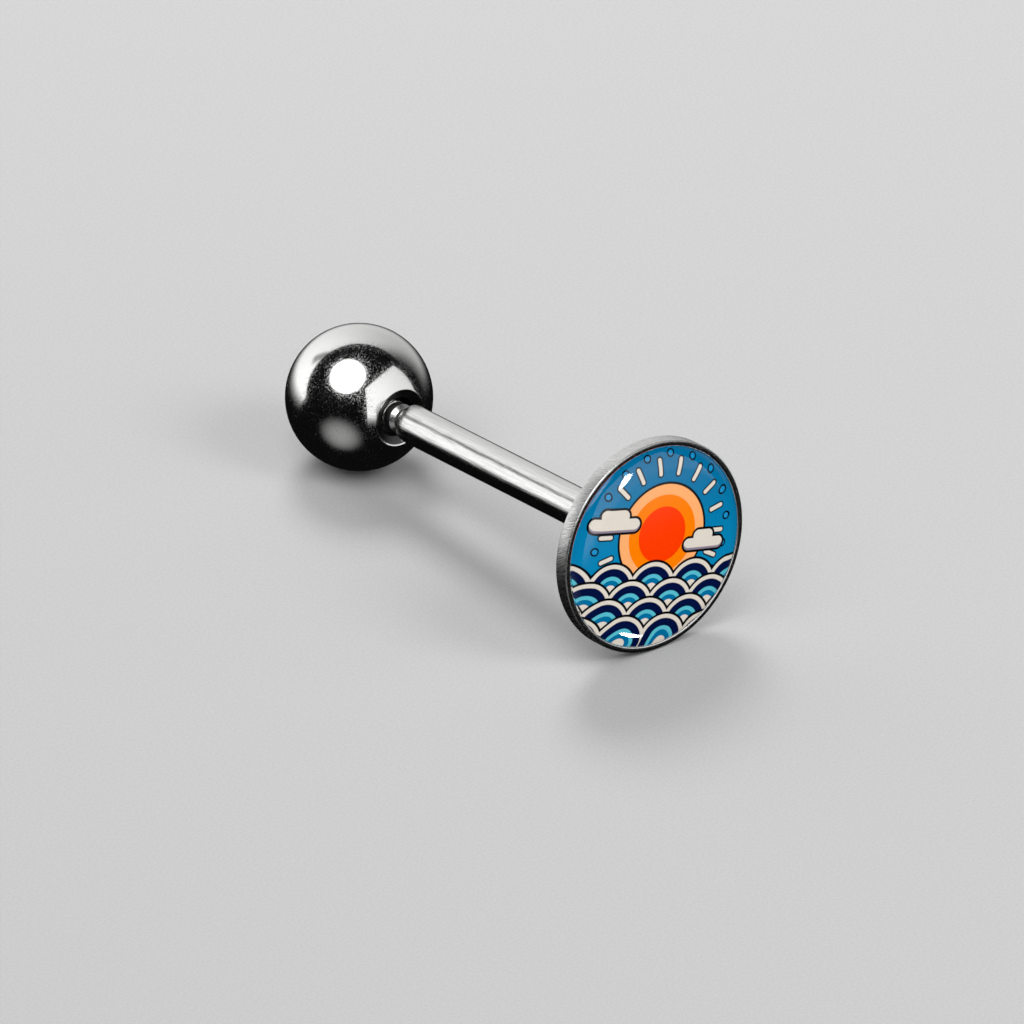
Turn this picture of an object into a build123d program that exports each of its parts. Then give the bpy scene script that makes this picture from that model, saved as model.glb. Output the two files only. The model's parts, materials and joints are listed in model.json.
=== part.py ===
from build123d import *
import math
import os

# A straight tongue barbell: a post with a shallow cup on one end and a screw-on ball on the other. A printed disc
# and a clear dome fill the cup. It lies on a flat surface, on the ball and on the cup's rim.
# Millimetres, +Z up. Each piece is drawn about its own axis, which is +Z from the ball's centre towards the cup,
# and then laid down with the cup's face towards -Y.

# Driving dimensions
BALL_D = 6.0
POST_D = 1.6
WEARABLE_LENGTH = 16.0
CUP_D = 8.9

# Ball's mouth: a shallow cone, a counterbore that clears the post, and a blind hole that clears the thread
MOUTH_D = 2.4
MOUTH_CONE_DEPTH = 0.18
COUNTERBORE_D = 1.66
COUNTERBORE_DEPTH = 0.75
THREAD_CLEARANCE = 0.03
HOLE_END_GAP = 0.35
DRILL_POINT_ANGLE = 118.0
MOUTH_EDGE_ROUND = 0.04

# Post's shoulder, which stands a little way out of the ball, then a narrow neck, a plain collar and the thread
SHOULDER_STANDOFF = 0.6
SHOULDER_CHAMFER = 0.16
NECK_LENGTH = 0.38
COLLAR_TAPER = 0.17
COLLAR_LENGTH = 0.33
THREAD_D = 1.2
THREAD_PITCH = 0.25
THREAD_DEPTH = 0.14
THREAD_CREST_WIDTH = 0.04
THREAD_ROOT_WIDTH = 0.22
STUD_LENGTH = 3.0
STUD_CHAMFER = 0.15
RIDGE_SINK = 0.03
TRIM_MARGIN = 0.05

# Cup, printed disc and dome
CUP_DEPTH = 0.7
CUP_FLOOR = 0.28
LIP_WIDTH = 0.25
LIP_ROUND = 0.06
CUP_BACK_ROUND = 0.1
SOLDER_FILLET = 0.2
PRINT_THICKNESS = 0.1
PIECE_GAP = 0.02
DOME_CROWN_RADIUS = 20.0
DOME_EDGE_RADIUS = 1.3
DOME_EDGE_ANGLE = 50.0

# Radii and stations along the axis, worked out from the sizes above. The ball's centre is at 0.
BALL_R = BALL_D / 2
POST_R = POST_D / 2
CUP_R = CUP_D / 2
MOUTH_R = MOUTH_D / 2
THREAD_R = THREAD_D / 2
ROOT_R = THREAD_R - THREAD_DEPTH
HOLE_R = THREAD_R + THREAD_CLEARANCE
MOUTH_AT = math.sqrt(BALL_R ** 2 - MOUTH_R ** 2)
SHOULDER_AT = MOUTH_AT + SHOULDER_STANDOFF
STUD_END_AT = SHOULDER_AT - STUD_LENGTH
NECK_END_AT = SHOULDER_AT - NECK_LENGTH
COLLAR_AT = NECK_END_AT - COLLAR_TAPER
THREAD_TOP_AT = COLLAR_AT - COLLAR_LENGTH
CUP_BACK_AT = MOUTH_AT + WEARABLE_LENGTH
CUP_FRONT_AT = CUP_BACK_AT + CUP_DEPTH
POCKET_R = CUP_R - LIP_WIDTH
FLOOR_AT = CUP_BACK_AT + CUP_FLOOR
PRINT_BACK_AT = FLOOR_AT + PIECE_GAP
DOME_BACK_AT = PRINT_BACK_AT + PRINT_THICKNESS + PIECE_GAP
INSERT_R = POCKET_R - PIECE_GAP

# How it lies: the ball and the cup's rounded back edge both touch z = 0, so the axis rises towards the cup.
RIM_AT = CUP_BACK_AT + CUP_BACK_ROUND
RIM_R = CUP_R - CUP_BACK_ROUND
RISE_ANGLE = (
    math.acos((BALL_R - CUP_BACK_ROUND) / math.hypot(RIM_R, RIM_AT))
    - math.atan2(RIM_AT, RIM_R)
)

# The dome's crown is one shallow sphere. Its foremost point, once laid down, and the ball's back set the origin's Y.
DOME_EDGE_SLOPE = math.radians(DOME_EDGE_ANGLE)
DOME_JOIN_SLOPE = math.asin(
    (INSERT_R - DOME_EDGE_RADIUS * math.sin(DOME_EDGE_SLOPE)) / (DOME_CROWN_RADIUS - DOME_EDGE_RADIUS)
)
DOME_JOIN_R = DOME_CROWN_RADIUS * math.sin(DOME_JOIN_SLOPE)
DOME_JOIN_AT = CUP_FRONT_AT + DOME_EDGE_RADIUS * (math.cos(DOME_JOIN_SLOPE) - math.cos(DOME_EDGE_SLOPE))
DOME_TOP_AT = DOME_JOIN_AT + DOME_CROWN_RADIUS * (1 - math.cos(DOME_JOIN_SLOPE))
CROWN_CENTRE_AT = DOME_TOP_AT - DOME_CROWN_RADIUS
FRONT_REACH = CROWN_CENTRE_AT * math.cos(RISE_ANGLE) + DOME_CROWN_RADIUS
BALL_Y = (FRONT_REACH - BALL_R) / 2
LAY_DOWN = Pos(0, BALL_Y, BALL_R) * Rot(90 - math.degrees(RISE_ANGLE), 0, 0)

# Two lengths nearer than this are the same
SAME = 1e-6


def turned(*edges):
    """A solid of revolution from a closed half-profile, drawn with X as the radius and Y along the axis.
    Its seam is on the side that faces up once it is laid down."""
    profile = make_face(Wire(edges))
    return revolve(Plane.YZ * profile, Axis.Z)


def profile_lines(points):
    """Straight edges through the points in turn."""
    return [Line(a, b) for a, b in zip(points[:-1], points[1:])]


def ring(solid, radius, at):
    """The round edges of the solid with that radius at that station."""
    circles = solid.edges().filter_by(GeomType.CIRCLE)
    return [e for e in circles if abs(e.radius - radius) < SAME and abs(e.arc_center.Z - at) < SAME]


def make_ball():
    """A ball with a coned mouth, a counterbore and a blind hole with a drill point."""
    counterbore_r = COUNTERBORE_D / 2
    cone_end_at = MOUTH_AT - MOUTH_CONE_DEPTH
    counterbore_end_at = cone_end_at - COUNTERBORE_DEPTH
    hole_end_at = STUD_END_AT - HOLE_END_GAP
    point_depth = HOLE_R / math.tan(math.radians(DRILL_POINT_ANGLE / 2))
    inside = profile_lines([
        (MOUTH_R, MOUTH_AT),
        (counterbore_r, cone_end_at),
        (counterbore_r, counterbore_end_at),
        (HOLE_R, counterbore_end_at),
        (HOLE_R, hole_end_at),
        (0, hole_end_at - point_depth),
        (0, -BALL_R),
    ])
    outside = ThreePointArc((0, -BALL_R), (BALL_R, 0), (MOUTH_R, MOUTH_AT))
    ball = turned(*inside, outside)
    return fillet(ring(ball, MOUTH_R, MOUTH_AT), MOUTH_EDGE_ROUND)


def make_stud():
    """The post's end beyond its shoulder: a narrow neck, a plain collar, and a cut thread with a chamfered tip."""
    core = turned(*profile_lines([
        (0, STUD_END_AT),
        (ROOT_R, STUD_END_AT),
        (ROOT_R, THREAD_TOP_AT),
        (THREAD_R, THREAD_TOP_AT),
        (THREAD_R, COLLAR_AT),
        (ROOT_R, NECK_END_AT),
        (ROOT_R, SHOULDER_AT),
        (0, SHOULDER_AT),
        (0, STUD_END_AT),
    ]))
    ridge_from = STUD_END_AT - THREAD_PITCH
    ridge_length = THREAD_TOP_AT - ridge_from + THREAD_PITCH
    path = Helix(THREAD_PITCH, ridge_length, ROOT_R, center=(0, 0, ridge_from))
    tooth = Polyline(
        (-RIDGE_SINK, -THREAD_ROOT_WIDTH / 2),
        (THREAD_DEPTH, -THREAD_CREST_WIDTH / 2),
        (THREAD_DEPTH, THREAD_CREST_WIDTH / 2),
        (-RIDGE_SINK, THREAD_ROOT_WIDTH / 2),
        close=True,
    )
    section = Plane(origin=(ROOT_R, 0, ridge_from), x_dir=(1, 0, 0), z_dir=(0, -1, 0)) * make_face(tooth)
    ridge = sweep(section, path, is_frenet=True)
    envelope = turned(*profile_lines([
        (0, STUD_END_AT),
        (THREAD_R - STUD_CHAMFER, STUD_END_AT),
        (THREAD_R + TRIM_MARGIN, STUD_END_AT + STUD_CHAMFER + TRIM_MARGIN),
        (THREAD_R + TRIM_MARGIN, THREAD_TOP_AT),
        (0, THREAD_TOP_AT),
        (0, STUD_END_AT),
    ]))
    return core + (ridge & envelope)


def make_post_and_cup():
    """The post, its stud and the cup, soldered into one solid."""
    body = turned(*profile_lines([
        (0, SHOULDER_AT),
        (POST_R - SHOULDER_CHAMFER, SHOULDER_AT),
        (POST_R, SHOULDER_AT + SHOULDER_CHAMFER),
        (POST_R, CUP_BACK_AT),
        (CUP_R, CUP_BACK_AT),
        (CUP_R, CUP_FRONT_AT),
        (POCKET_R, CUP_FRONT_AT),
        (POCKET_R, FLOOR_AT),
        (0, FLOOR_AT),
        (0, SHOULDER_AT),
    ]))
    body = fillet(ring(body, POST_R, CUP_BACK_AT), SOLDER_FILLET)
    body = fillet(ring(body, CUP_R, CUP_BACK_AT), CUP_BACK_ROUND)
    lip_edges = ring(body, CUP_R, CUP_FRONT_AT) + ring(body, POCKET_R, CUP_FRONT_AT)
    return fillet(lip_edges, LIP_ROUND) + make_stud()


def make_picture_disc():
    """The thin printed disc on the cup's floor."""
    return Pos(0, 0, PRINT_BACK_AT) * Cylinder(
        INSERT_R, PRINT_THICKNESS, align=(Align.CENTER, Align.CENTER, Align.MIN)
    )


def make_clear_dome():
    """The clear dome: straight sides inside the lip, a steep rounded edge and a shallow crown."""
    slope_between = (DOME_JOIN_SLOPE + DOME_EDGE_SLOPE) / 2
    edge_centre_r = INSERT_R - DOME_EDGE_RADIUS * math.sin(DOME_EDGE_SLOPE)
    edge_centre_at = CUP_FRONT_AT - DOME_EDGE_RADIUS * math.cos(DOME_EDGE_SLOPE)
    edge_middle = (
        edge_centre_r + DOME_EDGE_RADIUS * math.sin(slope_between),
        edge_centre_at + DOME_EDGE_RADIUS * math.cos(slope_between),
    )
    crown_middle = (
        DOME_CROWN_RADIUS * math.sin(DOME_JOIN_SLOPE / 2),
        CROWN_CENTRE_AT + DOME_CROWN_RADIUS * math.cos(DOME_JOIN_SLOPE / 2),
    )
    sides = profile_lines([
        (0, DOME_TOP_AT),
        (0, DOME_BACK_AT),
        (INSERT_R, DOME_BACK_AT),
        (INSERT_R, CUP_FRONT_AT),
    ])
    edge = ThreePointArc((INSERT_R, CUP_FRONT_AT), edge_middle, (DOME_JOIN_R, DOME_JOIN_AT))
    crown = ThreePointArc((DOME_JOIN_R, DOME_JOIN_AT), crown_middle, (0, DOME_TOP_AT))
    return turned(*sides, edge, crown)


PIECES = {
    "ball": make_ball,
    "post_and_cup": make_post_and_cup,
    "picture_disc": make_picture_disc,
    "clear_dome": make_clear_dome,
}

os.makedirs("parts", exist_ok=True)
for name, make in PIECES.items():
    piece = (LAY_DOWN * make()).solid()
    piece.label = name
    export_step(piece, f"parts/{name}.step")
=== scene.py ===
import json
import math

import bmesh
import bpy
from mathutils import Matrix, Vector


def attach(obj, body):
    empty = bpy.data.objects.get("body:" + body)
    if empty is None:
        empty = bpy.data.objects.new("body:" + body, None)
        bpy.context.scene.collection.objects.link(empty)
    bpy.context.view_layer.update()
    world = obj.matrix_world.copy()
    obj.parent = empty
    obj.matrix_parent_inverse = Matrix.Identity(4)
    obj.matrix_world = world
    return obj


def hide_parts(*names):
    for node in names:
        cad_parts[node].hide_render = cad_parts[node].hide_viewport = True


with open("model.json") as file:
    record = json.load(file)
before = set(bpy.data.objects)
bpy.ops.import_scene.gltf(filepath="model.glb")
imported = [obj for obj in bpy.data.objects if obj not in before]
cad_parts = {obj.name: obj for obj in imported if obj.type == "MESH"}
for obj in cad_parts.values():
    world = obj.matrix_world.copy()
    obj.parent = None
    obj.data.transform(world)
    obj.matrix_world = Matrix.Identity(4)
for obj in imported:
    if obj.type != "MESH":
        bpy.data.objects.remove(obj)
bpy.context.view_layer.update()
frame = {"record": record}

# Sizes of the barbell, in metres. Stations run along its axis from the ball's centre towards the cup.
MM = 0.001
BALL_R = 3.0 * MM
POST_R = 0.8 * MM
CUP_R = 4.45 * MM
WEARABLE_LENGTH = 16.0 * MM

MOUTH_R = 1.2 * MM
MOUTH_CONE_DEPTH = 0.18 * MM
MOUTH_EDGE_ROUND = 0.04 * MM
COUNTERBORE_R = 0.83 * MM
COUNTERBORE_DEPTH = 0.75 * MM
COUNTERBORE_EDGE_ROUND = 0.02 * MM
HOLE_R = 0.63 * MM
HOLE_END_GAP = 0.35 * MM
DRILL_POINT_HALF_ANGLE = math.radians(59)

SHOULDER_STANDOFF = 0.6 * MM
SHOULDER_CHAMFER = 0.16 * MM
SHOULDER_ROUND = 0.03 * MM
NECK_LENGTH = 0.38 * MM
COLLAR_TAPER = 0.17 * MM
COLLAR_LENGTH = 0.33 * MM
COLLAR_ROUND = 0.03 * MM
STUD_LENGTH = 3.0 * MM
STUD_CHAMFER = 0.15 * MM
THREAD_R = 0.6 * MM
THREAD_PITCH = 0.25 * MM
THREAD_DEPTH = 0.14 * MM
THREAD_CREST_WIDTH = 0.04 * MM
THREAD_FLANK_RUN = 0.53

CUP_DEPTH = 0.7 * MM
CUP_FLOOR = 0.28 * MM
CUP_BACK_ROUND = 0.1 * MM
LIP_WIDTH = 0.25 * MM
LIP_ROUND = 0.06 * MM
SOLDER_FILLET = 0.2 * MM
PIECE_GAP = 0.02 * MM
PRINT_THICKNESS = 0.1 * MM
PRINT_EDGE_ROUND = 0.02 * MM
PRINT_SINK = 0.01 * MM
DOME_CROWN_RADIUS = 20.0 * MM
DOME_EDGE_RADIUS = 1.3 * MM
DOME_EDGE_SLOPE = math.radians(50)

# Stations and radii worked out from the sizes
MOUTH_AT = math.sqrt(BALL_R ** 2 - MOUTH_R ** 2)
CONE_END_AT = MOUTH_AT - MOUTH_CONE_DEPTH
COUNTERBORE_END_AT = CONE_END_AT - COUNTERBORE_DEPTH
SHOULDER_AT = MOUTH_AT + SHOULDER_STANDOFF
STUD_END_AT = SHOULDER_AT - STUD_LENGTH
HOLE_END_AT = STUD_END_AT - HOLE_END_GAP
NECK_END_AT = SHOULDER_AT - NECK_LENGTH
COLLAR_AT = NECK_END_AT - COLLAR_TAPER
THREAD_TOP_AT = COLLAR_AT - COLLAR_LENGTH
ROOT_R = THREAD_R - THREAD_DEPTH
CUP_BACK_AT = MOUTH_AT + WEARABLE_LENGTH
CUP_FRONT_AT = CUP_BACK_AT + CUP_DEPTH
POCKET_R = CUP_R - LIP_WIDTH
FLOOR_AT = CUP_BACK_AT + CUP_FLOOR
PRINT_BACK_AT = FLOOR_AT + PIECE_GAP
DOME_BACK_AT = PRINT_BACK_AT + PRINT_THICKNESS + PIECE_GAP
PRINT_FRONT_AT = DOME_BACK_AT + PRINT_SINK
INSERT_R = POCKET_R - PIECE_GAP

# Fineness of the meshes
ROUND_SEGMENTS = 192
BALL_ROWS = 120
CORNER_STEPS = 6
DOME_STEPS = 40
THREAD_ROWS_PER_TURN = 12
MERGE_DISTANCE = 1e-8
SHARP_ANGLE = math.radians(32)
PLACE = "place_about_axis"

# Camera: a telephoto lens, set by the photograph. The picture's middle looks at a point on the floor.
# Angles are in degrees, distances in metres, and the lens and the sensor in millimetres.
CAMERA_AZIMUTH = -37.645
CAMERA_ELEVATION = 28.541
CAMERA_DISTANCE = 0.7952
CAMERA_LENS = 693.6
CAMERA_SENSOR = 36.0
CAMERA_NEAR = 0.01
CAMERA_FAR = 100.0
PICTURE_MIDDLE = Vector((2.32 * MM, 1.48 * MM, 0.0))


def mount(name):
    """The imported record's mount with that name."""
    return next(m for m in frame["record"]["mounts"] if m["name"] == name)


def axis_frame():
    """The matrix from the barbell's own axes to the row frame: X across, Y up the disc, Z along the axis."""
    back = mount("cup_back")
    along = -Vector(back["axis"]).normalized()
    across = Vector((1, 0, 0))
    up = along.cross(across)
    origin = Vector(back["pos_m"]) - along * CUP_BACK_AT
    return Matrix.Translation(origin) @ Matrix((across, up, along)).transposed().to_4x4()


AXIS_FRAME = axis_frame()


# Meshes of revolution. A half-profile is a row of (radius, station) points.

def arc(centre_r, centre_at, radius, start, end, steps):
    """Points of an arc in the half-profile, with angles from outward towards the cup, in radians."""
    angles = [start + (end - start) * k / steps for k in range(steps + 1)]
    return [(centre_r + radius * math.cos(a), centre_at + radius * math.sin(a)) for a in angles]


def rounded(before, corner, after, radius):
    """Points of the arc that rounds one corner between two straight runs."""
    corner = Vector(corner)
    back = (Vector(before) - corner).normalized()
    on = (Vector(after) - corner).normalized()
    half = back.angle(on) / 2
    middle = corner + (back + on).normalized() * radius / math.sin(half)
    first = corner + back * radius / math.tan(half) - middle
    last = corner + on * radius / math.tan(half) - middle
    bend = first.angle_signed(last)
    spins = [Matrix.Rotation(-bend * k / CORNER_STEPS, 2) for k in range(CORNER_STEPS + 1)]
    return [tuple(middle + spin @ first) for spin in spins]


def outline(corners):
    """A half-profile from (radius, station, rounding) corners."""
    points = []
    for k, (radius, at, rounding) in enumerate(corners):
        if rounding == 0:
            points.append((radius, at))
        else:
            points += rounded(corners[k - 1][:2], (radius, at), corners[k + 1][:2], rounding)
    return points


def place(mesh, angle, radius, at):
    """A vertex of the mesh at that angle about the axis."""
    return mesh.verts.new((radius * math.sin(angle), radius * math.cos(angle), at))


def join_columns(mesh, columns):
    """Faces between neighbouring columns of vertices."""
    for left, right in zip(columns[:-1], columns[1:]):
        for a, b, c, d in zip(left[:-1], left[1:], right[1:], right[:-1]):
            mesh.faces.new((a, b, c, d))


def turn(mesh, profile):
    """Adds a surface of revolution to the mesh."""
    angles = [2 * math.pi * k / ROUND_SEGMENTS for k in range(ROUND_SEGMENTS + 1)]
    join_columns(mesh, [[place(mesh, a, r, at) for r, at in profile] for a in angles])


def finished(name, mesh, body, node):
    """Makes the mesh a smooth closed piece that rides on the body and stands for the CAD node.
    It keeps each vertex's place about the axis, in millimetres, for the materials."""
    bmesh.ops.remove_doubles(mesh, verts=mesh.verts, dist=MERGE_DISTANCE)
    bmesh.ops.dissolve_degenerate(mesh, edges=mesh.edges, dist=MERGE_DISTANCE)
    bmesh.ops.recalc_face_normals(mesh, faces=mesh.faces)
    data = bpy.data.meshes.new(name)
    mesh.to_mesh(data)
    mesh.free()
    places = [number / MM for vertex in data.vertices for number in vertex.co]
    data.attributes.new(PLACE, "FLOAT_VECTOR", "POINT").data.foreach_set("vector", places)
    data.transform(AXIS_FRAME)
    data.shade_smooth()
    data.set_sharp_from_angle(angle=SHARP_ANGLE)
    piece = bpy.data.objects.new(name, data)
    bpy.context.scene.collection.objects.link(piece)
    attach(piece, body)
    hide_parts(node)
    return piece


def make_ball():
    """The ball, with its coned mouth, counterbore and blind hole."""
    mouth_angle = math.asin(MOUTH_AT / BALL_R)
    sphere = arc(0, 0, BALL_R, -math.pi / 2, mouth_angle, BALL_ROWS)
    point_depth = HOLE_R / math.tan(DRILL_POINT_HALF_ANGLE)
    corners = [(0, -BALL_R, 0)]
    corners += [(r, at, 0) for r, at in sphere[1:-1]]
    corners += [
        (MOUTH_R, MOUTH_AT, MOUTH_EDGE_ROUND),
        (COUNTERBORE_R, CONE_END_AT, COUNTERBORE_EDGE_ROUND),
        (COUNTERBORE_R, COUNTERBORE_END_AT, 0),
        (HOLE_R, COUNTERBORE_END_AT, 0),
        (HOLE_R, HOLE_END_AT, 0),
        (0, HOLE_END_AT - point_depth, 0),
    ]
    mesh = bmesh.new()
    turn(mesh, outline(corners))
    return finished("steel_ball", mesh, "screw_ball", "ball")


def thread_radius(at, from_crest):
    """The stud's radius at that station, where the nearest crest is so far away along the axis."""
    chamfer = THREAD_R - STUD_CHAMFER + at - STUD_END_AT
    flank = THREAD_R - max(0.0, abs(from_crest) - THREAD_CREST_WIDTH / 2) / THREAD_FLANK_RUN
    return max(ROOT_R, min(flank, chamfer))


def add_thread(mesh):
    """Adds the stud's threaded length. Its rows follow the helix, so that each turn joins the next."""
    turns = math.ceil((THREAD_TOP_AT - STUD_END_AT) / THREAD_PITCH) + 1
    rows = turns * THREAD_ROWS_PER_TURN
    columns = []
    for k in range(ROUND_SEGMENTS + 1):
        column = []
        for row in range(rows + 1):
            turned = row / THREAD_ROWS_PER_TURN - k / ROUND_SEGMENTS
            at = STUD_END_AT + THREAD_PITCH * turned
            at = min(THREAD_TOP_AT, max(STUD_END_AT, at))
            from_crest = THREAD_PITCH * (turned - round(turned))
            radius = thread_radius(at, from_crest)
            column.append(place(mesh, 2 * math.pi * k / ROUND_SEGMENTS, radius, at))
        columns.append(column)
    join_columns(mesh, columns)


def make_post_and_cup():
    """The post with its collar and threaded stud, and the cup soldered to its other end."""
    shoulder_r = POST_R - SHOULDER_CHAMFER
    body = outline([
        (ROOT_R, THREAD_TOP_AT, 0),
        (THREAD_R, THREAD_TOP_AT, 0),
        (THREAD_R, COLLAR_AT, COLLAR_ROUND),
        (ROOT_R, NECK_END_AT, COLLAR_ROUND),
        (ROOT_R, SHOULDER_AT, SHOULDER_ROUND),
        (shoulder_r, SHOULDER_AT, SHOULDER_ROUND),
        (POST_R, SHOULDER_AT + SHOULDER_CHAMFER, SHOULDER_ROUND),
        (POST_R, CUP_BACK_AT, SOLDER_FILLET),
        (CUP_R, CUP_BACK_AT, CUP_BACK_ROUND),
        (CUP_R, CUP_FRONT_AT, LIP_ROUND),
        (POCKET_R, CUP_FRONT_AT, LIP_ROUND),
        (POCKET_R, FLOOR_AT, 0),
        (0, FLOOR_AT, 0),
    ])
    mesh = bmesh.new()
    turn(mesh, [(0, STUD_END_AT), (ROOT_R, STUD_END_AT)])
    add_thread(mesh)
    turn(mesh, body)
    return finished("steel_post_and_cup", mesh, "bar", "post_and_cup")


def make_print():
    """The printed disc. Its face is bonded to the dome, so it stands a hair into it."""
    mesh = bmesh.new()
    turn(mesh, outline([
        (0, PRINT_BACK_AT, 0),
        (INSERT_R, PRINT_BACK_AT, PRINT_EDGE_ROUND),
        (INSERT_R, PRINT_FRONT_AT, PRINT_EDGE_ROUND),
        (0, PRINT_FRONT_AT, 0),
    ]))
    return finished("printed_disc", mesh, "bar", "picture_disc")


def make_dome():
    """The clear dome: straight sides inside the lip, a steep rounded edge and a shallow crown.
    It casts no shadow, so that the print under it stays bright."""
    edge_r = INSERT_R - DOME_EDGE_RADIUS * math.sin(DOME_EDGE_SLOPE)
    edge_at = CUP_FRONT_AT - DOME_EDGE_RADIUS * math.cos(DOME_EDGE_SLOPE)
    join = math.asin(edge_r / (DOME_CROWN_RADIUS - DOME_EDGE_RADIUS))
    crown_at = edge_at - (DOME_CROWN_RADIUS - DOME_EDGE_RADIUS) * math.cos(join)
    upright = math.pi / 2
    edge = arc(edge_r, edge_at, DOME_EDGE_RADIUS, upright - DOME_EDGE_SLOPE, upright - join, DOME_STEPS)
    crown = arc(0, crown_at, DOME_CROWN_RADIUS, upright - join, upright, DOME_STEPS)
    profile = [(0, DOME_BACK_AT), (INSERT_R, DOME_BACK_AT)] + edge + crown[1:-1]
    profile.append((0, crown_at + DOME_CROWN_RADIUS))
    mesh = bmesh.new()
    turn(mesh, profile)
    dome = finished("resin_dome", mesh, "bar", "clear_dome")
    dome.visible_shadow = False
    dome.visible_diffuse = False
    return dome


def dress(piece, material):
    """Gives the piece its one material."""
    piece.data.materials.clear()
    piece.data.materials.append(material)


# Node helpers

class Value:
    """A number that a node tree works out, written as a plain formula."""

    def __init__(self, tree, socket):
        self.tree = tree
        self.socket = socket

    def calc(self, operation, *others):
        """A new value from a Math node."""
        node = self.tree.nodes.new("ShaderNodeMath")
        node.operation = operation
        for slot, value in enumerate((self,) + others):
            feed(self.tree, node.inputs[slot], value)
        return Value(self.tree, node.outputs[0])

    def __add__(self, other):
        return self.calc("ADD", other)

    def __sub__(self, other):
        return self.calc("SUBTRACT", other)

    def __mul__(self, other):
        return self.calc("MULTIPLY", other)

    def __truediv__(self, other):
        return self.calc("DIVIDE", other)

    def __neg__(self):
        return self * -1.0

    def smooth(self, low, high, to_low=0.0, to_high=1.0):
        """This value mapped from low..high to to_low..to_high, with soft ends."""
        inputs = {"Value": self, "From Min": low, "From Max": high, "To Min": to_low, "To Max": to_high}
        return value_of(self.tree, "ShaderNodeMapRange", inputs, interpolation_type="SMOOTHSTEP")


def feed(tree, socket, value):
    """Sets the socket to a plain value, or links it."""
    source = value.socket if isinstance(value, Value) else value
    if isinstance(source, bpy.types.NodeSocket):
        tree.links.new(source, socket)
    else:
        socket.default_value = source


def add(tree, kind, inputs=None, **settings):
    """A new node with its settings and inputs."""
    node = tree.nodes.new(kind)
    for name, setting in settings.items():
        setattr(node, name, setting)
    for name, value in (inputs or {}).items():
        feed(tree, node.inputs[name], value)
    return node


def value_of(tree, kind, inputs=None, **settings):
    """The first output of a new node, as a value."""
    return Value(tree, add(tree, kind, inputs, **settings).outputs[0])


def split(tree, vector):
    """The three parts of a vector, as values."""
    node = add(tree, "ShaderNodeSeparateXYZ", {"Vector": vector})
    return [Value(tree, socket) for socket in node.outputs]


def joined(tree, x, y, z):
    """A vector from three parts."""
    return add(tree, "ShaderNodeCombineXYZ", {"X": x, "Y": y, "Z": z}).outputs[0]


def blended(tree, share, first, second):
    """The first colour where the share is 0 and the second where it is 1."""
    node = tree.nodes.new("ShaderNodeMix")
    node.data_type = "RGBA"
    sockets = {socket.name: socket for socket in node.inputs if socket.enabled}
    feed(tree, sockets["Factor"], share)
    feed(tree, sockets["A"], first)
    feed(tree, sockets["B"], second)
    return next(socket for socket in node.outputs if socket.enabled)


def noise(tree, place_on, scale, detail=2.0):
    """Noise of 0 to 1, with so many grains to one unit of the place."""
    inputs = {"Vector": place_on, "Scale": scale, "Detail": detail}
    return value_of(tree, "ShaderNodeTexNoise", inputs)


def scaled(tree, place_on, scale):
    """The place stretched along its three axes."""
    return add(tree, "ShaderNodeMapping", {"Vector": place_on, "Scale": scale}).outputs[0]


def rotated(tree, place_on, degrees):
    """The place turned about its three axes."""
    turn_by = tuple(math.radians(angle) for angle in degrees)
    return add(tree, "ShaderNodeMapping", {"Vector": place_on, "Rotation": turn_by}).outputs[0]


def highest(values):
    """The highest of the values."""
    top = values[0]
    for value in values[1:]:
        top = top.calc("MAXIMUM", value)
    return top


def sum_of(values):
    """The values added up."""
    total = values[0]
    for value in values[1:]:
        total = total + value
    return total


def new_material(name):
    """A material with its tree, its shader and the surface's place about the axis in millimetres."""
    material = bpy.data.materials.new(name)
    material.use_nodes = True
    tree = material.node_tree
    place_on = add(tree, "ShaderNodeAttribute", attribute_name=PLACE).outputs["Vector"]
    return material, tree, tree.nodes["Principled BSDF"], place_on


def bumped(tree, shader, height, distance):
    """Raises the surface by the height times the distance."""
    bump = add(tree, "ShaderNodeBump", {"Height": height, "Strength": 1.0, "Distance": distance})
    tree.links.new(bump.outputs["Normal"], shader.inputs["Normal"])


# Steel. A soft step is written as the value where it starts and the value where it ends, and then,
# where they aren't 0 and 1, what it gives below and above. Scales are in grains a millimetre, and
# heights and depths are in millimetres.

STEEL = (0.74, 0.74, 0.73, 1.0)
POST_STEEL = (0.69, 0.69, 0.68, 1.0)
GRAINED_STEEL = (0.63, 0.63, 0.62, 1.0)
GROUND_STEEL = (0.56, 0.56, 0.56, 1.0)
# Near black: painted shade for the ball's bore, where the hole lies in shade.
BORE_PAINTED_SHADE = (0.08, 0.08, 0.08, 1.0)

PIT_SCALE = 21.0
PIT_STEP = (0.53, 0.66)
PIT_SHARE = 0.6
COARSE_PIT_SCALE = 16.0
COARSE_PIT_STEP = (0.70, 0.78)
COARSE_PIT_SHARE = 0.9
SCRATCH_SCALE = (30.0, 30.0, 1.1)
SCRATCH_TURNS = ((20, 35, 0), (75, -20, 40), (-50, 60, 10))
SCRATCH_STEP = (0.76, 0.84)
SCRATCH_SHARE = 0.35
CLOUD_SCALE = 1.3
CLOUD_STEP = (0.3, 0.7, 0.6, 1.0)
MOUTH_STEP = (BALL_R / MM - 0.06, BALL_R / MM - 0.03, 1.0, 0.0)
BALL_ROUGHNESS = 0.045
BALL_MARK_ROUGHNESS = 0.42
MOUTH_ROUGHNESS = 0.25
BALL_MARK_DEPTH = 0.0016

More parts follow.
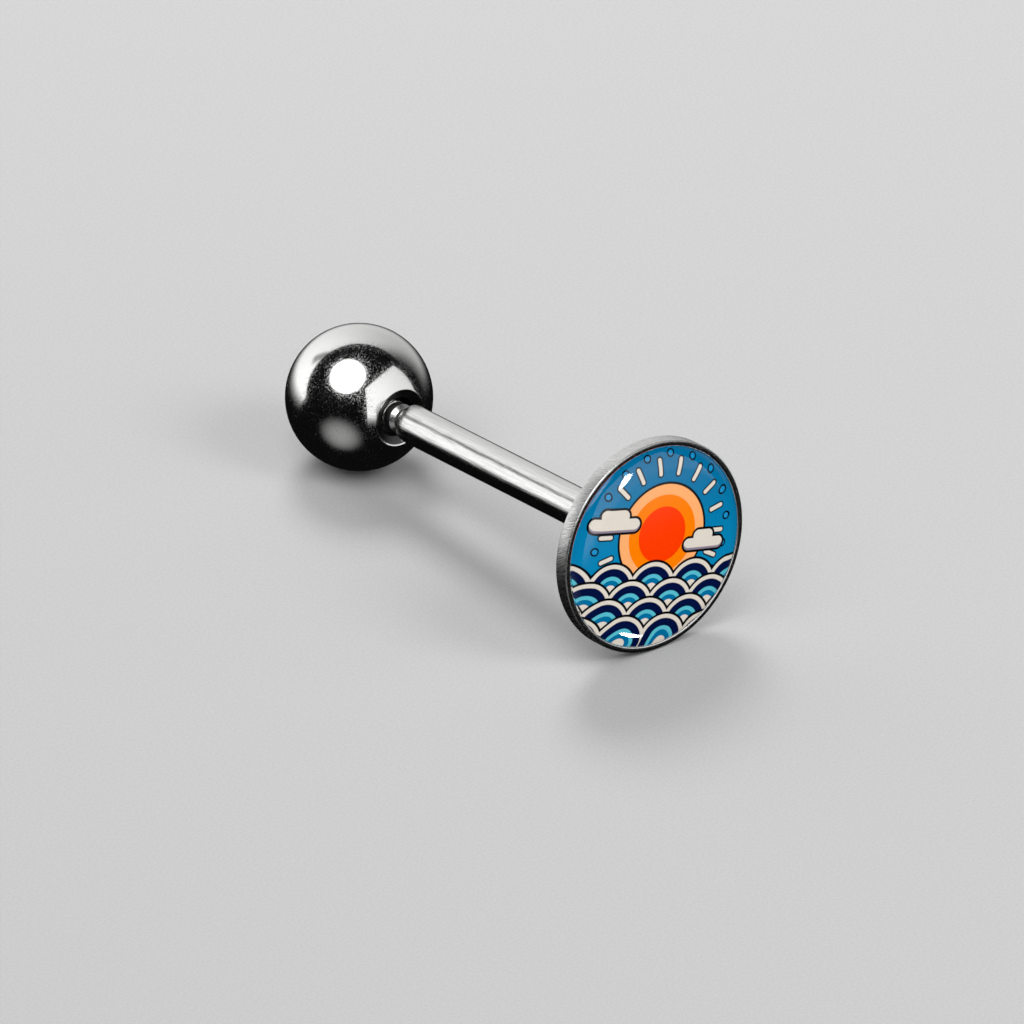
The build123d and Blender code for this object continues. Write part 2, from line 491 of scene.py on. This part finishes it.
STREAK_LEAN = math.radians(62)
STREAK_SCALE_DOWN = 2.2
STREAK_SCALE_ACROSS = 17.0
STREAK_COLOUR_STEP = (0.35, 0.65)
STREAK_ROUGHNESS_STEP = (0.3, 0.7, 0.22, 0.40)
STREAK_HEIGHT = 0.014
RING_SCALE = 16.0
RING_ROUGHNESS_STEP = (0.3, 0.7, 0.30, 0.46)
RING_HEIGHT = 0.004
GRAIN_SCALE = (13.0, 13.0, 1.0)
GRAIN_COLOUR_STEP = (0.3, 0.7)
GRAIN_ROUGHNESS_STEP = (0.3, 0.7, 0.06, 0.16)
GRAIN_HEIGHT = 0.006
SPECK_SCALE = 17.0
SPECK_STEP = (0.63, 0.78)
SPECK_ROUGHNESS = 0.16
WALL_SPECK_HEIGHT = 0.003
POST_SPECK_DEPTH = 0.0018
STUD_ROUGHNESS = 0.2
WALL_STEP = (CUP_R / MM - 0.05, CUP_R / MM - 0.03)
BACK_START_STEP = (CUP_BACK_AT / MM - 0.03, CUP_BACK_AT / MM - 0.01)
BACK_END_STEP = (CUP_BACK_AT / MM, CUP_BACK_AT / MM + 0.02, 1.0, 0.0)
STUD_STEP = (SHOULDER_AT / MM, (SHOULDER_AT + SHOULDER_CHAMFER) / MM, 1.0, 0.0)


def ball_material():
    """Polished steel with fine pits all over, a soft cloudy polish and a few hairline scratches.
    The bore is rougher, and its colour is darkened almost to black as painted shade inside the hole."""
    material, tree, shader, place_on = new_material("polished_ball_steel")
    pits = noise(tree, place_on, PIT_SCALE).smooth(*PIT_STEP)
    coarse_pits = noise(tree, place_on, COARSE_PIT_SCALE, detail=1.0).smooth(*COARSE_PIT_STEP)
    scratches = []
    for degrees in SCRATCH_TURNS:
        across_lines = scaled(tree, rotated(tree, place_on, degrees), SCRATCH_SCALE)
        scratches.append(noise(tree, across_lines, 1.0, detail=0.0).smooth(*SCRATCH_STEP))
    cloud = noise(tree, place_on, CLOUD_SCALE, detail=3.0).smooth(*CLOUD_STEP)
    marks = highest([
        pits * cloud * PIT_SHARE,
        coarse_pits * COARSE_PIT_SHARE,
        highest(scratches) * SCRATCH_SHARE,
    ])
    x, y, along = split(tree, place_on)
    from_centre = (x * x + y * y + along * along).calc("SQRT")
    in_mouth = from_centre.smooth(*MOUTH_STEP)
    # Painted shade: inside the mouth the colour is darkened almost to black.
    tree.links.new(blended(tree, in_mouth, STEEL, BORE_PAINTED_SHADE), shader.inputs["Base Color"])
    shader.inputs["Metallic"].default_value = 1.0
    roughness = marks * BALL_MARK_ROUGHNESS + in_mouth * MOUTH_ROUGHNESS + BALL_ROUGHNESS
    feed(tree, shader.inputs["Roughness"], roughness)
    bumped(tree, shader, -marks, BALL_MARK_DEPTH * MM)
    return material


def wall_streaks(tree, x, y, along):
    """The short slanting streaks on the cup's outer wall."""
    round_way = x.calc("ARCTAN2", y) * (CUP_R / MM)
    lean_cos = math.cos(STREAK_LEAN)
    lean_sin = math.sin(STREAK_LEAN)
    down_streak = round_way * lean_cos + along * lean_sin
    across_streak = along * lean_cos - round_way * lean_sin
    streak_place = joined(tree, down_streak * STREAK_SCALE_DOWN, across_streak * STREAK_SCALE_ACROSS, 0.0)
    return noise(tree, streak_place, 1.0, detail=3.0)


def bar_material():
    """Polished steel with a fine lengthwise grain and specks. The cup's outer wall is ground to a satin
    finish with short slanting streaks, and its back keeps the rings of the lathe."""
    material, tree, shader, place_on = new_material("polished_bar_steel")
    x, y, along = split(tree, place_on)
    out = (x * x + y * y).calc("SQRT")
    streaks = wall_streaks(tree, x, y, along)
    specks = noise(tree, place_on, SPECK_SCALE).smooth(*SPECK_STEP)
    rings = noise(tree, joined(tree, out * RING_SCALE, 0.0, 0.0), 1.0, detail=3.0)
    grain = noise(tree, scaled(tree, place_on, GRAIN_SCALE), 1.0, detail=3.0)
    on_back = along.smooth(*BACK_START_STEP) * along.smooth(*BACK_END_STEP)
    on_stud = along.smooth(*STUD_STEP)
    on_wall = out.smooth(*WALL_STEP)

    grained = blended(tree, grain.smooth(*GRAIN_COLOUR_STEP), POST_STEEL, GRAINED_STEEL)
    ground = on_wall * streaks.smooth(*STREAK_COLOUR_STEP)
    tree.links.new(blended(tree, ground, grained, GROUND_STEEL), shader.inputs["Base Color"])
    shader.inputs["Metallic"].default_value = 1.0

    satin = streaks.smooth(*STREAK_ROUGHNESS_STEP)
    turned = rings.smooth(*RING_ROUGHNESS_STEP)
    polish = grain.smooth(*GRAIN_ROUGHNESS_STEP) + specks * SPECK_ROUGHNESS + on_stud * STUD_ROUGHNESS
    roughness = on_wall * (satin - polish) + on_back * (turned - polish) + polish
    feed(tree, shader.inputs["Roughness"], roughness)

    wall_height = streaks * STREAK_HEIGHT + specks * WALL_SPECK_HEIGHT
    post_height = grain * GRAIN_HEIGHT - specks * POST_SPECK_DEPTH
    back_height = rings * RING_HEIGHT
    height = on_wall * (wall_height - post_height) + on_back * (back_height - post_height) + post_height
    bumped(tree, shader, height, MM)
    return material


# The print: a plain sun, clouds and waves in flat colours with black outlines

def colour(red, green, blue):
    """A linear colour from red, green and blue of 0 to 255 as a screen shows them."""
    def linear(value):
        share = value / 255
        if share <= 0.04045:
            return share / 12.92
        return ((share + 0.055) / 1.055) ** 2.4
    return (linear(red), linear(green), linear(blue), 1.0)


TEAL = colour(0, 110, 158)
LIGHT_TEAL = colour(8, 130, 180)
CYAN = colour(88, 190, 208)
NAVY = colour(4, 18, 63)
CREAM = colour(224, 216, 204)
RED = colour(255, 60, 0)
ORANGE = colour(255, 128, 0)
PEACH = colour(255, 176, 112)
MAUVE = colour(142, 128, 144)
INK = colour(6, 6, 10)
BLACK = (0.0, 0.0, 0.0, 1.0)
DOT_BLUE = colour(26, 143, 200)

# All in millimetres on the disc, turned a little so that the sea lies nearly level to the camera.
# The turn is in degrees.
PRINT_TURN = -14
EDGE_SOFTNESS = 0.015
OUTLINE = 0.10
SKY_STEP = (-1.0, 4.0)
SUN_AT = (0.15, 0.55)
SUN_RINGS = ((2.05, PEACH), (1.62, ORANGE), (1.14, RED))
RAY_COUNT = 18
RAY_FROM = 2.50
RAY_TO = 3.00
RAY_HALF_WIDTH = 0.085
RAY_OUTLINE = 0.06
DOT_OUT = 3.22
DOT_R = 0.11
DOT_OUTLINE = 0.07
WAVE_SPACING = 2.0
WAVE_ROW_DROP = 0.74
WAVE_TOP_ROW = -1.72
WAVE_ROWS = 4
WAVE_RINGS = ((1.15, CREAM), (0.98, NAVY), (0.66, CYAN), (0.50, TEAL), (0.30, CREAM))
CLOUD_SHADE = 0.09
# Columns: left end, height, right end and half thickness of each bar
CLOUD_BARS = (
    (-3.10, 1.02, -1.30, 0.27),
    (-2.60, 1.38, -1.85, 0.27),
    (1.55, 0.05, 3.05, 0.24),
    (2.00, 0.38, 2.50, 0.24),
)
MOTTLE_SCALE = 18.0
MOTTLE_STEP = (0.25, 0.75, 0.93, 1.0)
PRINT_ROUGHNESS_STEP = (0.93, 1.0, 0.5, 0.4)


class Painting:
    """Flat colours laid over each other."""

    def __init__(self, tree, ground):
        self.tree = tree
        self.colour = ground

    def lay(self, distance, fill):
        """Lays the fill where the distance is under zero."""
        inside = distance.smooth(-EDGE_SOFTNESS, EDGE_SOFTNESS, 1.0, 0.0)
        self.colour = blended(self.tree, inside, self.colour, fill)


def from_point(x, y, at):
    """The distance from a point."""
    across = x - at[0]
    up = y - at[1]
    return (across * across + up * up).calc("SQRT")


def from_bar(x, y, left, up, right):
    """The distance from a level line."""
    middle = (left + right) / 2
    beyond = ((x - middle).calc("ABSOLUTE") - (right - left) / 2).calc("MAXIMUM", 0.0)
    above = y - up
    return (beyond * beyond + above * above).calc("SQRT")


def in_sector(angle, out, turn_by):
    """How far out from the sun's middle, and how far to the side, a place lies in the nearest of the
    sectors round the sun, which are turned by that share of a sector."""
    sector = 2 * math.pi / RAY_COUNT
    from_middle = angle - ((angle / sector - turn_by).calc("ROUND") + turn_by) * sector
    return out * from_middle.calc("COSINE"), out * from_middle.calc("SINE")


def paint_sun(painting, x, y):
    """Rings of warm colour, with short rays and small dots round them."""
    angle = (y - SUN_AT[1]).calc("ARCTAN2", x - SUN_AT[0])
    out = from_point(x, y, SUN_AT)
    dot = from_point(*in_sector(angle, out, 0.5), (DOT_OUT, 0.0)) - DOT_R
    painting.lay(dot - DOT_OUTLINE, INK)
    painting.lay(dot, DOT_BLUE)
    ray = from_bar(*in_sector(angle, out, 0.0), RAY_FROM, 0.0, RAY_TO) - RAY_HALF_WIDTH
    painting.lay(ray - RAY_OUTLINE, INK)
    painting.lay(ray, CREAM)
    painting.lay(out - (SUN_RINGS[0][0] + OUTLINE), INK)
    for radius, fill in SUN_RINGS:
        painting.lay(out - radius, fill)


def from_clouds(x, y):
    """The distance from the clouds' outlines."""
    nearest = None
    for left, up, right, half in CLOUD_BARS:
        distance = from_bar(x, y, left, up, right) - half
        nearest = distance if nearest is None else nearest.calc("MINIMUM", distance)
    return nearest


def paint_clouds(painting, x, y):
    """Clouds of round-ended bars, with a shade along their undersides."""
    clouds = from_clouds(x, y)
    painting.lay(clouds - OUTLINE, INK)
    painting.lay(clouds, MAUVE)
    painting.lay(clouds.calc("MAXIMUM", from_clouds(x, y - CLOUD_SHADE)), CREAM)


def paint_waves(painting, x, y):
    """Rows of overlapping ringed waves, the nearest row in front."""
    for row in range(WAVE_ROWS):
        shift = WAVE_SPACING / 2 * (row % 2)
        cell = ((x - shift) / WAVE_SPACING).calc("ROUND") * WAVE_SPACING
        out = from_point(x - shift - cell, y, (0.0, WAVE_TOP_ROW - row * WAVE_ROW_DROP))
        painting.lay(out - (WAVE_RINGS[0][0] + OUTLINE), INK)
        for radius, fill in WAVE_RINGS:
            painting.lay(out - radius, fill)


def print_material():
    """The print, with the faint mottle of ink on film."""
    material, tree, shader, place_on = new_material("colour_print")
    x, y, _ = split(tree, rotated(tree, place_on, (0, 0, -PRINT_TURN)))
    painting = Painting(tree, blended(tree, y.smooth(*SKY_STEP), LIGHT_TEAL, TEAL))
    paint_sun(painting, x, y)
    paint_clouds(painting, x, y)
    paint_waves(painting, x, y)
    mottle = noise(tree, place_on, MOTTLE_SCALE, detail=3.0).smooth(*MOTTLE_STEP)
    tree.links.new(blended(tree, mottle, BLACK, painting.colour), shader.inputs["Base Color"])
    feed(tree, shader.inputs["Roughness"], mottle.smooth(*PRINT_ROUGHNESS_STEP))
    shader.inputs["Specular IOR Level"].default_value = 0.0
    return material


# Resin

RESIN_WHITE = (1.0, 1.0, 1.0, 1.0)
RESIN_IOR = 1.5
SMEAR_SCALE = 1.7
SMEAR_ROUGHNESS_STEP = (0.4, 0.8, 0.035, 0.055)


def resin_material():
    """Clear cast resin, with faint smears that soften its gloss."""
    material, tree, shader, place_on = new_material("clear_resin")
    smears = noise(tree, place_on, SMEAR_SCALE, detail=3.0)
    shader.inputs["Base Color"].default_value = RESIN_WHITE
    shader.inputs["IOR"].default_value = RESIN_IOR
    shader.inputs["Transmission Weight"].default_value = 1.0
    feed(tree, shader.inputs["Roughness"], smears.smooth(*SMEAR_ROUGHNESS_STEP))
    return material


# The studio: a pale floor, panels and lamps that the steel and the resin mirror, and soft lamps

FLOOR_HALF_SIDE = 2.0
FLOOR_PALE = (0.40, 0.40, 0.40, 1.0)
FLOOR_DARKER = (0.37, 0.37, 0.37, 1.0)
FLOOR_GRAIN_SCALE = 9000.0
FLOOR_GRAIN_STEP = (0.3, 0.7)
FLOOR_ROUGHNESS = 0.9
FLOOR_SPECULAR = 0.1


def make_floor():
    """A wide pale matt floor. The steel doesn't mirror it."""
    mesh = bmesh.new()
    bmesh.ops.create_grid(mesh, x_segments=1, y_segments=1, size=FLOOR_HALF_SIDE)
    data = bpy.data.meshes.new("floor")
    mesh.to_mesh(data)
    mesh.free()
    floor = bpy.data.objects.new("floor", data)
    bpy.context.scene.collection.objects.link(floor)
    floor.visible_glossy = False
    material, tree, shader, _ = new_material("pale_floor")
    place_on = add(tree, "ShaderNodeTexCoord").outputs["Object"]
    grain = noise(tree, place_on, FLOOR_GRAIN_SCALE).smooth(*FLOOR_GRAIN_STEP)
    tree.links.new(blended(tree, grain, FLOOR_DARKER, FLOOR_PALE), shader.inputs["Base Color"])
    shader.inputs["Roughness"].default_value = FLOOR_ROUGHNESS
    shader.inputs["Specular IOR Level"].default_value = FLOOR_SPECULAR
    dress(floor, material)


# Columns: the azimuths where each light panel starts and ends and that it faces, its foot's and its
# top's elevation there, how soft its start and its other edges are, and its strength at its start and
# its end. Azimuths are like the camera's.
PANELS = (
    (-25, 62, 22, -5, 51, 0.015, 0.015, 1.35, 0.95),
    (92, 232, 142, -5, 60, 0.30, 0.03, 0.40, 1.60),
)
# The seam takes light away from the panels in the same terms.
SEAM = (193, 205, 199, 24, 60, 0.06, 0.06, 0.75, 0.75)
# Columns: azimuth, elevation, half angle and edge softness of a round light
ROUND_LAMP = (-71, 58, 25.5, 0.035)
LAMP_STRENGTH = 4.2
LOW_GLOW = (-68, -36, 19, 0.10)
GLOW_STRENGTH = 0.42
GROUND_GLOSS_STEP = (-0.42, 0.02)
HAZE = 0.004
QUARTER_TURN = 90
BACKDROP = (0.72, 0.72, 0.72, 1.0)


def towards(azimuth, elevation):
    """The direction with that azimuth and elevation in degrees, as the camera's are given."""
    a = math.radians(azimuth)
    e = math.radians(elevation)
    return Vector((math.sin(a) * math.cos(e), -math.cos(a) * math.cos(e), math.sin(e)))


def along_with(direction, other):
    """How far the direction, as three values, points along another."""
    x, y, z = direction
    return x * other[0] + y * other[1] + z * other[2]


def panel_light(direction, start, end, facing, foot, top, start_softness, softness, *strengths):
    """The light of one upright panel."""
    from_start = along_with(direction, towards(start + QUARTER_TURN, 0))
    from_end = along_with(direction, towards(end - QUARTER_TURN, 0))
    up = Vector((0, 0, 1))
    out = towards(facing, 0)
    over_foot = along_with(direction, up - out * math.tan(math.radians(foot)))
    under_top = along_with(direction, out * math.tan(math.radians(top)) - up)
    inside = (
        from_start.smooth(-start_softness, start_softness)
        * from_end.smooth(-softness, softness)
        * over_foot.smooth(-softness, softness)
        * under_top.smooth(-softness * 2, softness * 2)
    )
    return inside * (from_start - from_end).smooth(-1.0, 1.0, *strengths)


def round_light(direction, azimuth, elevation, angle, softness):
    """The light of a round lamp."""
    near = along_with(direction, towards(azimuth, elevation))
    edge = math.cos(math.radians(angle))
    return near.smooth(edge - softness, edge + softness)


def make_world():
    """What the steel and the resin mirror: the panels, with their gloss fading over the ground, a round
    lamp and a low glow. The camera sees a plain backdrop instead."""
    world = bpy.data.worlds.new("studio")
    world.use_nodes = True
    bpy.context.scene.world = world
    tree = world.node_tree
    x, y, z = split(tree, add(tree, "ShaderNodeTexCoord").outputs["Generated"])
    mirrored = (x, y, z.calc("ABSOLUTE"))
    fade = z.smooth(*GROUND_GLOSS_STEP)
    panels = sum_of([panel_light(mirrored, *row) for row in PANELS])
    panels = panels * (-panel_light(mirrored, *SEAM) + 1.0)
    lamp = round_light((x, y, z), *ROUND_LAMP)
    glow = round_light((x, y, z), *LOW_GLOW)
    light = panels * fade * fade + lamp * LAMP_STRENGTH + glow * GLOW_STRENGTH + HAZE
    seen = add(tree, "ShaderNodeLightPath").outputs["Is Camera Ray"]
    shade = blended(tree, seen, joined(tree, light, light, light), BACKDROP)
    tree.links.new(shade, tree.nodes["Background"].inputs["Color"])


# Columns: azimuth, elevation, width, height, watts, and whether it is a glint. The dome alone mirrors
# a glint, and the other lamps light the matt surfaces and are mirrored by none.
LAMPS = (
    ("back_lamp", 150, 48, 0.12, 0.12, 0.55, False),
    ("front_lamp", 20, 40, 0.12, 0.12, 0.30, False),
    ("upper_glint", 12, 28, 0.050, 0.110, 0.52, True),
    ("lower_glint", 30, -50, 0.060, 0.060, 0.40, True),
)
LAMP_DISTANCE = 0.30


def make_lamps(dome):
    """Soft lamps behind and in front, and two small ones that glint on the dome."""
    dome_alone = bpy.data.collections.new("dome_alone")
    dome_alone.objects.link(dome)
    for name, azimuth, elevation, width, height, watts, glint in LAMPS:
        data = bpy.data.lights.new(name, "AREA")
        data.shape = "ELLIPSE"
        data.size = width
        data.size_y = height
        data.energy = watts
        lamp = bpy.data.objects.new(name, data)
        bpy.context.scene.collection.objects.link(lamp)
        way = towards(azimuth, elevation)
        lamp.location = way * LAMP_DISTANCE
        lamp.rotation_mode = "QUATERNION"
        lamp.rotation_quaternion = (-way).to_track_quat("-Z", "Y")
        lamp.visible_diffuse = not glint
        lamp.visible_glossy = glint
        if glint:
            lamp.light_linking.receiver_collection = dome_alone
        lamp.visible_transmission = False
        lamp.visible_camera = False


def make_camera():
    """The camera, at the photograph's angle."""
    data = bpy.data.cameras.new("camera")
    data.sensor_width = CAMERA_SENSOR
    data.lens = CAMERA_LENS
    data.clip_start = CAMERA_NEAR
    data.clip_end = CAMERA_FAR
    camera = bpy.data.objects.new("camera", data)
    bpy.context.scene.collection.objects.link(camera)
    back = towards(CAMERA_AZIMUTH, CAMERA_ELEVATION)
    camera.location = PICTURE_MIDDLE + back * CAMERA_DISTANCE
    camera.rotation_mode = "QUATERNION"
    camera.rotation_quaternion = (-back).to_track_quat("-Z", "Y")
    bpy.context.scene.camera = camera


dress(make_ball(), ball_material())
dress(make_post_and_cup(), bar_material())
dress(make_print(), print_material())
resin_dome = make_dome()
dress(resin_dome, resin_material())
make_floor()
make_world()
make_lamps(resin_dome)
make_camera()
bpy.context.scene.view_settings.view_transform = "Standard"
